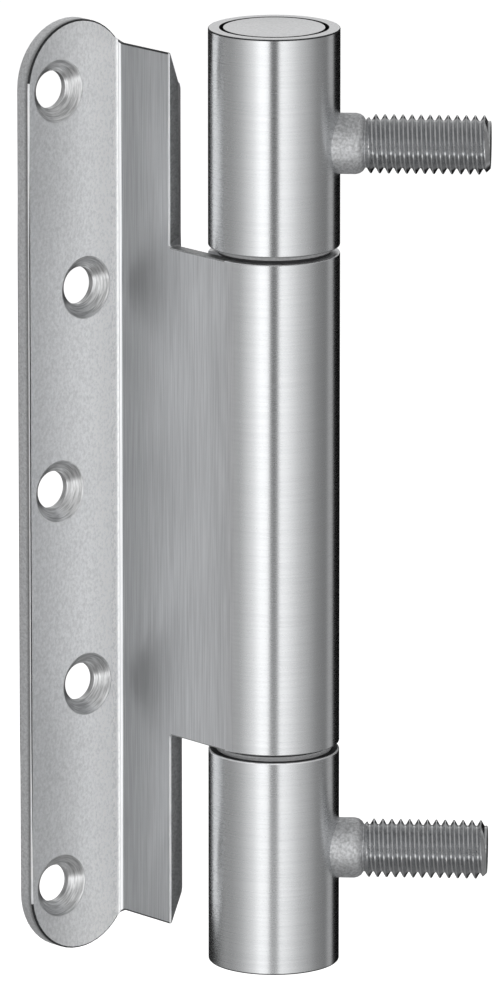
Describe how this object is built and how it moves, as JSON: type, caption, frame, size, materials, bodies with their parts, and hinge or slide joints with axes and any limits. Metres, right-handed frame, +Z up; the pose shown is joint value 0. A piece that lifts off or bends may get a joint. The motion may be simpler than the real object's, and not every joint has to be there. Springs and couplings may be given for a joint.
{
  "type": "retrofit door hinge",
  "caption": "Barrel hinge for a rebated door: a folded and rolled steel leaf for screws, and outer knuckles with threaded studs for the frame.",
  "frame": {"origin": "on the pivot axis, half way up the barrel", "axes": "+Z up along the pivot axis; +X along the leaf's flange from the fold to the barrel; the leaf's screw plate runs from the fold towards -Y with its countersinks facing +X; at rest the studs point 45 degrees from +X towards +Y"},
  "size_m": [0.0577, 0.0592, 0.1604],
  "materials": {
    "leaf_steel": "satin, brushed along the leaf",
    "knuckle_steel": "satin, brushed around the barrel",
    "stud_steel": "cut thread with a blasted collar",
    "cap_steel": "fine satin",
    "pin_steel": "ground",
    "washer_steel": "ground",
    "bush_polymer": "plain bearing polymer"
  },
  "bodies": {
    "frame_side": {"upper_knuckle": "knuckle_steel", "lower_knuckle": "knuckle_steel", "upper_stud": "stud_steel", "lower_stud": "stud_steel", "upper_end_cap": "cap_steel", "lower_end_cap": "cap_steel", "hinge_pin": "pin_steel", "upper_thrust_washer": "washer_steel", "lower_thrust_washer": "washer_steel"},
    "door_side": {"door_leaf": "leaf_steel", "upper_bush": "bush_polymer", "lower_bush": "bush_polymer"}
  },
  "joints": [
    {"name": "door_swing", "type": "hinge", "parent": "frame_side", "child": "door_side", "pos_m": [0, 0, 0], "axis": [0, 0, 1], "range_deg": [-45, 135]}
  ]
}
